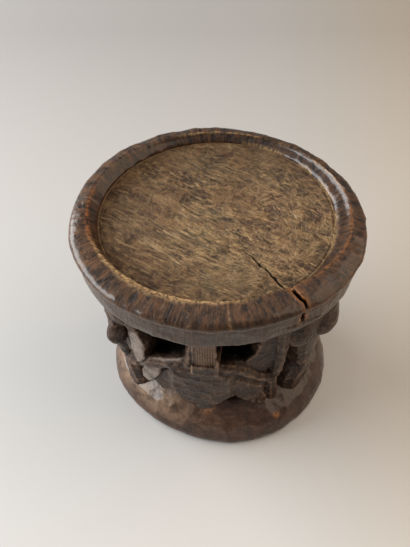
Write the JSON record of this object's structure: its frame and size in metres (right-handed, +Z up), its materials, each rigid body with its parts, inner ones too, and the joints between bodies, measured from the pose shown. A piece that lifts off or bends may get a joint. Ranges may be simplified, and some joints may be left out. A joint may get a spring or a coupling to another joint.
{
  "type": "carved round stool",
  "caption": "Low round wooden stool with a dished seat and raised rim, a base disc, and an openwork band of crouching figures with raised arms between them.",
  "frame": {"origin": "centre of the base's underside, on the floor", "axes": "+Z up along the stool's axis, the front towards -Y, +X to the right"},
  "size_m": [0.33, 0.33, 0.263],
  "materials": {
    "dark_wood": "dark brown hardwood with a glossy handled patina, worn to orange-brown on the edges",
    "worn_wood": "dry olive-brown seat floor, scratched and tooled, with a dull sheen"
  },
  "bodies": {
    "root": {"back_forearm_left": "dark_wood", "back_forearm_right": "dark_wood", "back_post": "dark_wood", "back_shin_left": "dark_wood", "back_shin_right": "dark_wood", "back_thigh_left": "dark_wood", "back_thigh_right": "dark_wood", "back_torso": "dark_wood", "back_upper_arm_left": "dark_wood", "back_upper_arm_right": "dark_wood", "base_disc": "dark_wood", "front_forearm_left": "dark_wood", "front_forearm_right": "dark_wood", "front_post": "dark_wood", "front_shin_left": "dark_wood", "front_shin_right": "dark_wood", "front_thigh_left": "dark_wood", "front_thigh_right": "dark_wood", "front_torso": "dark_wood", "front_upper_arm_left": "dark_wood", "front_upper_arm_right": "dark_wood", "knob_back_left": "dark_wood", "knob_back_right": "dark_wood", "knob_front_left_bead": "dark_wood", "knob_front_left_stub": "dark_wood", "knob_front_right": "dark_wood", "knob_right_side": "dark_wood", "left_forearm_left": "dark_wood", "left_forearm_right": "dark_wood", "left_post": "dark_wood", "left_shin_left": "dark_wood", "left_shin_right": "dark_wood", "left_thigh_left": "dark_wood", "left_thigh_right": "dark_wood", "left_torso": "dark_wood", "left_upper_arm_left": "dark_wood", "left_upper_arm_right": "dark_wood", "right_forearm_left": "dark_wood", "right_forearm_right": "dark_wood", "right_post": "dark_wood", "right_shin_left": "dark_wood", "right_shin_right": "dark_wood", "right_thigh_left": "dark_wood", "right_thigh_right": "dark_wood", "right_torso": "dark_wood", "right_upper_arm_left": "dark_wood", "right_upper_arm_right": "dark_wood", "seat_panel": "worn_wood", "seat_rim": "dark_wood"}
  },
  "joints": []
}
